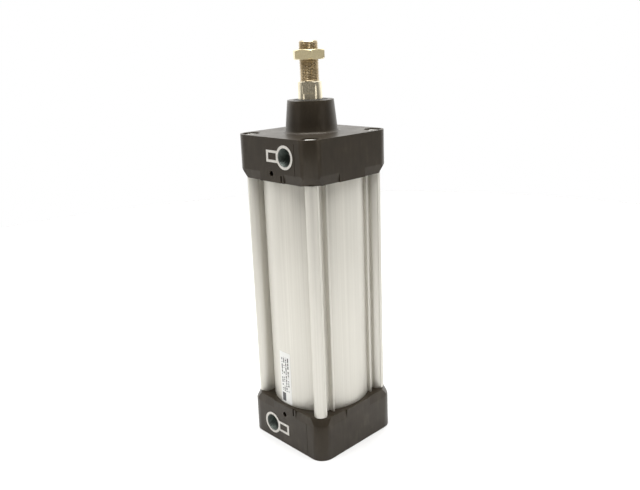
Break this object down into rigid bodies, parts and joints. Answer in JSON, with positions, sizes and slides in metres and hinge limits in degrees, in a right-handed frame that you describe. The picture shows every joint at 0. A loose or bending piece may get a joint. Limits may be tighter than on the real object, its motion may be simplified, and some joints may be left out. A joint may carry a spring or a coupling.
{
  "type": "pneumatic cylinder",
  "caption": "Upright square-capped pneumatic cylinder: dark end caps, silver profiled barrel with tie-rod lobes and sensor slots, tapered rod boss, threaded rod end with lock nut.",
  "frame": {"origin": "centre of the rear cap's outer face", "axes": "+Z along the piston rod, towards its threaded end; ports and cushion needles face -Y; sensor slots face +X and -X"},
  "size_m": [0.114, 0.1144, 0.429],
  "materials": {
    "cap_dark": "satin, dark grey-brown coated",
    "barrel_silver": "matt anodised",
    "piston_alloy": "machined",
    "rod_chrome": "polished, hard chromed",
    "plain_steel": "turned",
    "zinc_steel": "zinc plated, yellowish",
    "bush_bronze": "sintered",
    "seal_rubber": "matt black",
    "guide_plastic": "matt",
    "magnet_compound": "matt",
    "label_white": "printed film"
  },
  "bodies": {
    "housing": {"front_cap": "cap_dark", "rear_cap": "cap_dark", "barrel": "barrel_silver", "tie_rods": "plain_steel", "front_tie_rod_nuts": "zinc_steel", "rear_tie_rod_nuts": "zinc_steel", "rod_wiper": "seal_rubber", "rod_seal": "seal_rubber", "rod_bush": "bush_bronze", "front_barrel_o_ring": "seal_rubber", "rear_barrel_o_ring": "seal_rubber", "front_needle_retainer": "cap_dark", "rear_needle_retainer": "cap_dark", "type_label": "label_white"},
    "piston_seals": {"front_piston_seal": "seal_rubber", "rear_piston_seal": "seal_rubber", "piston_guide_ring": "guide_plastic"},
    "rod": {"piston_rod": "rod_chrome", "front_cushion_sleeve": "plain_steel", "rear_cushion_sleeve": "plain_steel", "front_piston_half": "piston_alloy", "rear_piston_half": "piston_alloy", "piston_magnet": "magnet_compound", "piston_o_ring": "seal_rubber", "piston_nut": "zinc_steel"},
    "lock_nut": {"rod_lock_nut": "zinc_steel"},
    "front_needle_feed": {"front_needle_o_ring": "seal_rubber"},
    "front_needle_screw": {"front_needle": "plain_steel"},
    "rear_needle_feed": {"rear_needle_o_ring": "seal_rubber"},
    "rear_needle_screw": {"rear_needle": "plain_steel"},
    "front_cushion_lip": {"front_cushion_seal": "seal_rubber"},
    "rear_cushion_lip": {"rear_cushion_seal": "seal_rubber"}
  },
  "joints": [
    {"name": "rod_stroke", "type": "slide", "parent": "housing", "child": "piston_seals", "axis": [0, 0, 1], "range_m": [0, 0.2]},
    {"name": "rod_spin", "type": "hinge", "parent": "piston_seals", "child": "rod", "pos_m": [0, 0, 0.2], "axis": [0, 0, 1], "continuous": true},
    {"name": "lock_nut_travel", "type": "slide", "parent": "rod", "child": "lock_nut", "axis": [0, 0, 1], "range_m": [-0.0212, 0.0085]},
    {"name": "front_needle_advance", "type": "slide", "parent": "housing", "child": "front_needle_feed", "axis": [0, 1, 0], "range_m": [-0.00151, 0.00151]},
    {"name": "front_needle_turn", "type": "hinge", "parent": "front_needle_feed", "child": "front_needle_screw", "pos_m": [0, -0.045, 0.302], "axis": [0, 1, 0], "range_deg": [-720, 720]},
    {"name": "front_cushion_float", "type": "slide", "parent": "housing", "child": "front_cushion_lip", "axis": [0, 0, 1], "range_m": [-0.00028, 0.00028]},
    {"name": "rear_needle_advance", "type": "slide", "parent": "housing", "child": "rear_needle_feed", "axis": [0, 1, 0], "range_m": [-0.00151, 0.00151]},
    {"name": "rear_needle_turn", "type": "hinge", "parent": "rear_needle_feed", "child": "rear_needle_screw", "pos_m": [0, -0.045, 0.036], "axis": [0, 1, 0], "range_deg": [-720, 720]},
    {"name": "rear_cushion_float", "type": "slide", "parent": "housing", "child": "rear_cushion_lip", "axis": [0, 0, 1], "range_m": [-0.00028, 0.00028]}
  ],
  "couplings": [
    {"joint": "front_needle_advance", "follows": "front_needle_turn", "m_per_rad": 0.00011937},
    {"joint": "rear_needle_advance", "follows": "rear_needle_turn", "m_per_rad": 0.00011937}
  ]
}
